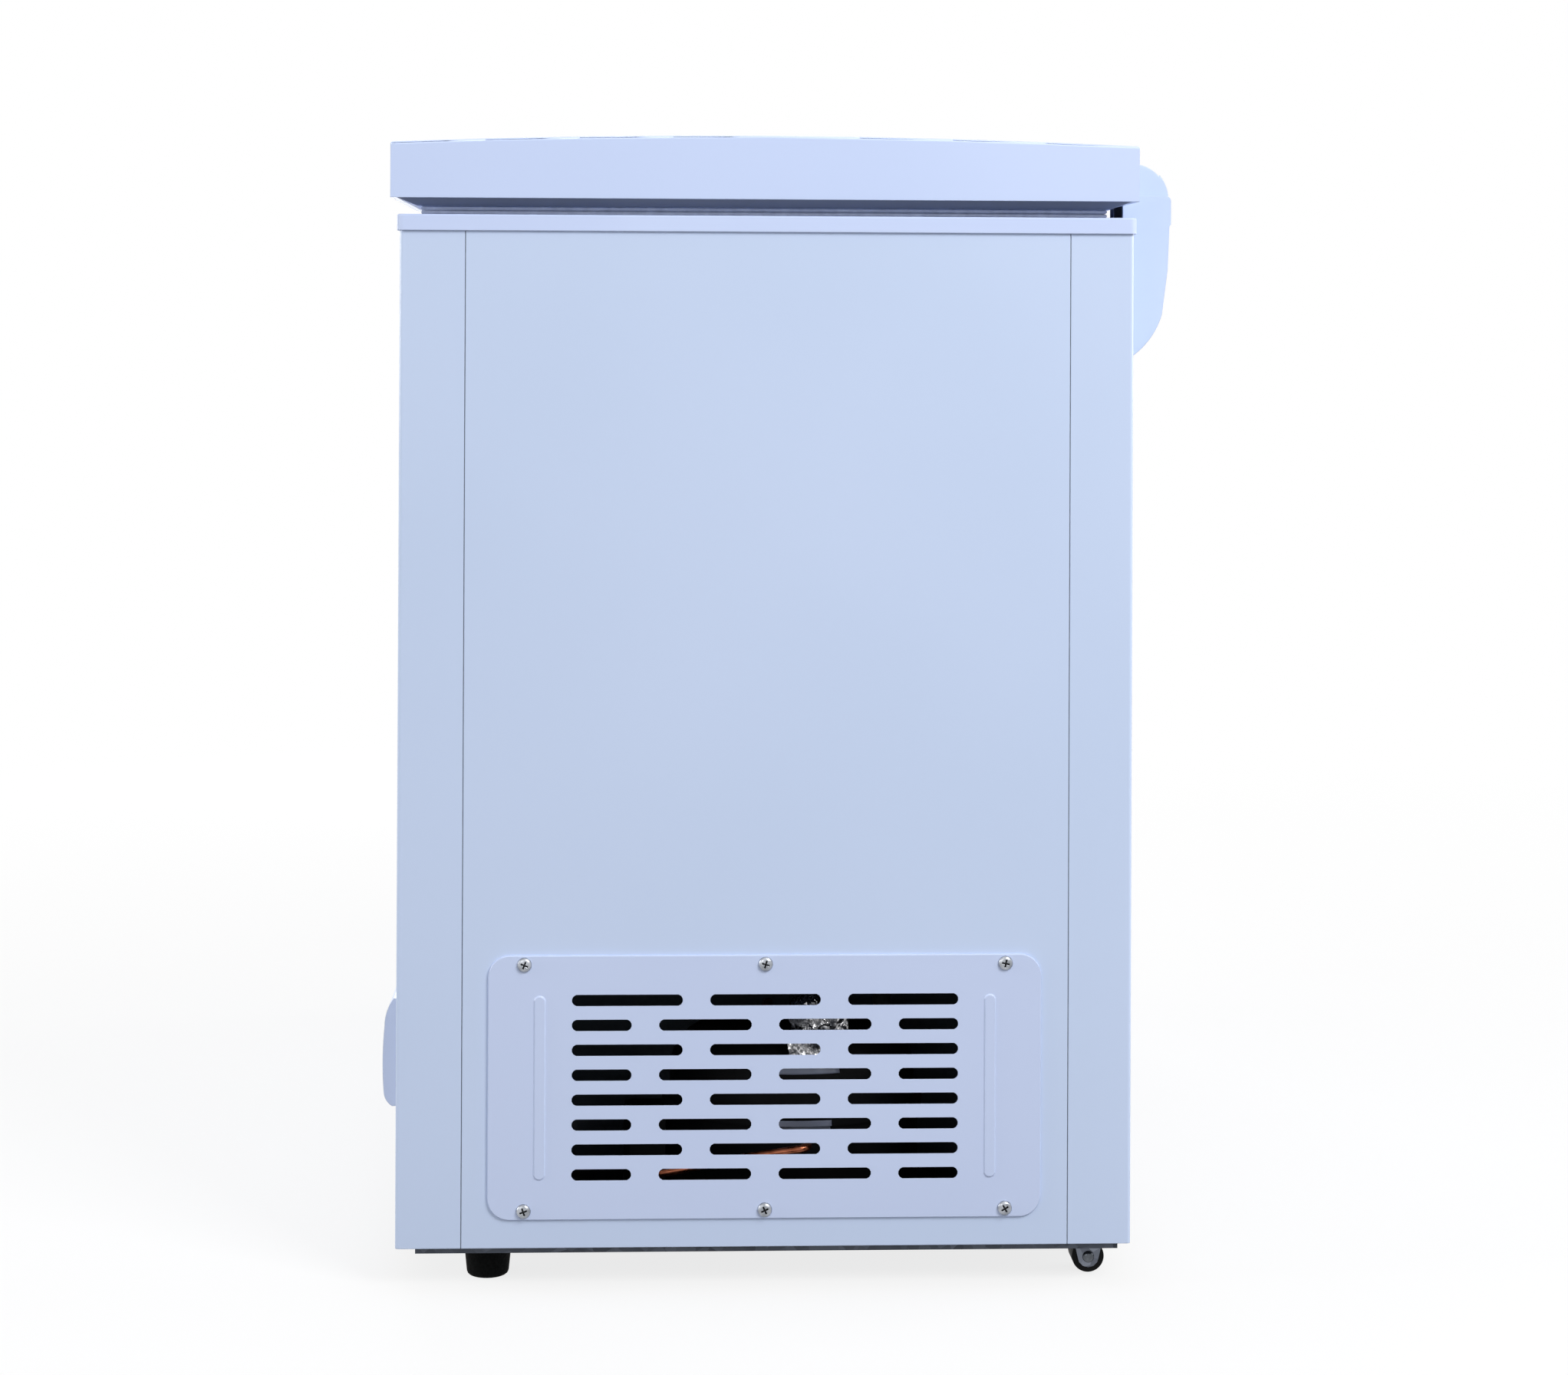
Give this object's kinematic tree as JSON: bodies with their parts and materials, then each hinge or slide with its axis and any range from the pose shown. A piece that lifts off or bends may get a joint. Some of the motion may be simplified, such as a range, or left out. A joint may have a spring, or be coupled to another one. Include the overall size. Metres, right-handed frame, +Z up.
{
  "type": "chest freezer",
  "caption": "Compact white chest freezer with a crowned spring-hinged lid, slotted compressor cover at one end, front control, feet and rear rollers.",
  "frame": {"origin": "floor level, under the middle of the overall box", "axes": "+X along the length towards the compressor end, +Y towards the rear where the lid is hinged, +Z up"},
  "size_m": [0.916, 0.5996, 0.85],
  "materials": {
    "white_steel": "smooth gloss white paint",
    "vent_paint": "satin grey-white paint",
    "white_plastic": "semi-gloss white moulding",
    "liner_aluminium": "fine embossed sheet",
    "galvanised": "dull zinc coating",
    "zinc": "bright zinc plating",
    "foam": "rigid cell foam",
    "spring_steel": "dark oiled wire",
    "gasket_soft": "soft matte grey-white",
    "black_rubber": "matte black",
    "black_plastic": "matte black",
    "shell_black": "satin black paint",
    "copper": "drawn copper, slightly tarnished",
    "foil": "crumpled bright foil",
    "tube_steel": "drawn tube",
    "tube_aluminium": "drawn tube",
    "knob_plastic": "satin grey",
    "lamp_lens": "translucent lens",
    "basket_wire": "white coated wire"
  },
  "bodies": {
    "cabinet": {"base_plate": "galvanised", "bay_panel": "shell_black", "cabinet_foam": "foam", "capillary_tube": "copper", "compressor": "shell_black", "compressor_bolts": "zinc", "compressor_grommets": "black_rubber", "condenser_tube": "tube_steel", "control_housing": "white_plastic", "cord_gland": "black_plastic", "discharge_pipe": "copper", "evaporator_tube": "tube_aluminium", "filter_drier": "copper", "front_panel": "white_steel", "hinge_backing_plates": "galvanised", "hinge_base_screws": "zinc", "hinge_pins": "zinc", "hinge_springs": "spring_steel", "indicator_lamps": "lamp_lens", "inner_liner": "liner_aluminium", "left_end_panel": "white_steel", "left_front_foot": "black_rubber", "left_hinge_base": "galvanised", "left_hinge_cover": "white_plastic", "left_rail": "galvanised", "left_roller_bracket": "galvanised", "process_pipe": "copper", "rear_panel": "white_steel", "right_end_panel": "white_steel", "right_front_foot": "black_rubber", "right_hinge_base": "galvanised", "right_hinge_cover": "white_plastic", "right_rail": "galvanised", "right_roller_bracket": "galvanised", "roller_axles": "zinc", "suction_pipe": "copper", "suction_sleeve": "foil", "terminal_cover": "black_plastic", "thermostat": "black_plastic", "top_trim": "white_plastic", "vent_cover": "vent_paint", "vent_cover_screws": "zinc"},
    "lid": {"lid_skin": "white_steel", "lid_liner": "white_plastic", "lid_foam": "foam", "lid_gasket": "gasket_soft", "lid_backing_plates": "galvanised", "hinge_leaf_screws": "zinc", "left_hinge_leaf": "galvanised", "left_hinge_hood": "white_plastic", "right_hinge_leaf": "galvanised", "right_hinge_hood": "white_plastic"},
    "left_roller": {"left_roller": "black_plastic"},
    "right_roller": {"right_roller": "black_plastic"},
    "thermostat_knob": {"thermostat_knob": "knob_plastic"},
    "basket": {"basket": "basket_wire"},
    "left_hinge_rod": {"left_hinge_rod": "galvanised"},
    "right_hinge_rod": {"right_hinge_rod": "galvanised"}
  },
  "joints": [
    {"name": "lid_hinge", "type": "hinge", "parent": "cabinet", "child": "lid", "pos_m": [0, 0.26875, 0.809], "axis": [-1, 0, 0], "range_deg": [0, 80], "deforming": ["hinge_springs"]},
    {"name": "left_roller_spin", "type": "hinge", "parent": "cabinet", "child": "left_roller", "pos_m": [-0.4105, 0.22975, 0.012], "axis": [1, 0, 0], "continuous": true},
    {"name": "right_roller_spin", "type": "hinge", "parent": "cabinet", "child": "right_roller", "pos_m": [0.4105, 0.22975, 0.012], "axis": [1, 0, 0], "continuous": true},
    {"name": "thermostat_turn", "type": "hinge", "parent": "cabinet", "child": "thermostat_knob", "pos_m": [0.3665, -0.29, 0.16425], "axis": [0, -1, 0], "range_deg": [0, 270]},
    {"name": "basket_slide", "type": "slide", "parent": "cabinet", "child": "basket", "axis": [1, 0, 0], "range_m": [-0.52, 0]},
    {"name": "left_rod_swing", "type": "hinge", "parent": "lid", "child": "left_hinge_rod", "pos_m": [-0.3415, 0.28104, 0.8176], "axis": [-1, 0, 0], "range_deg": [-80, 0]},
    {"name": "right_rod_swing", "type": "hinge", "parent": "lid", "child": "right_hinge_rod", "pos_m": [0.3415, 0.28104, 0.8176], "axis": [-1, 0, 0], "range_deg": [-80, 0]}
  ],
  "couplings": [
    {"joint": "left_rod_swing", "follows": "lid_hinge", "ratio": -1},
    {"joint": "right_rod_swing", "follows": "lid_hinge", "ratio": -1}
  ]
}
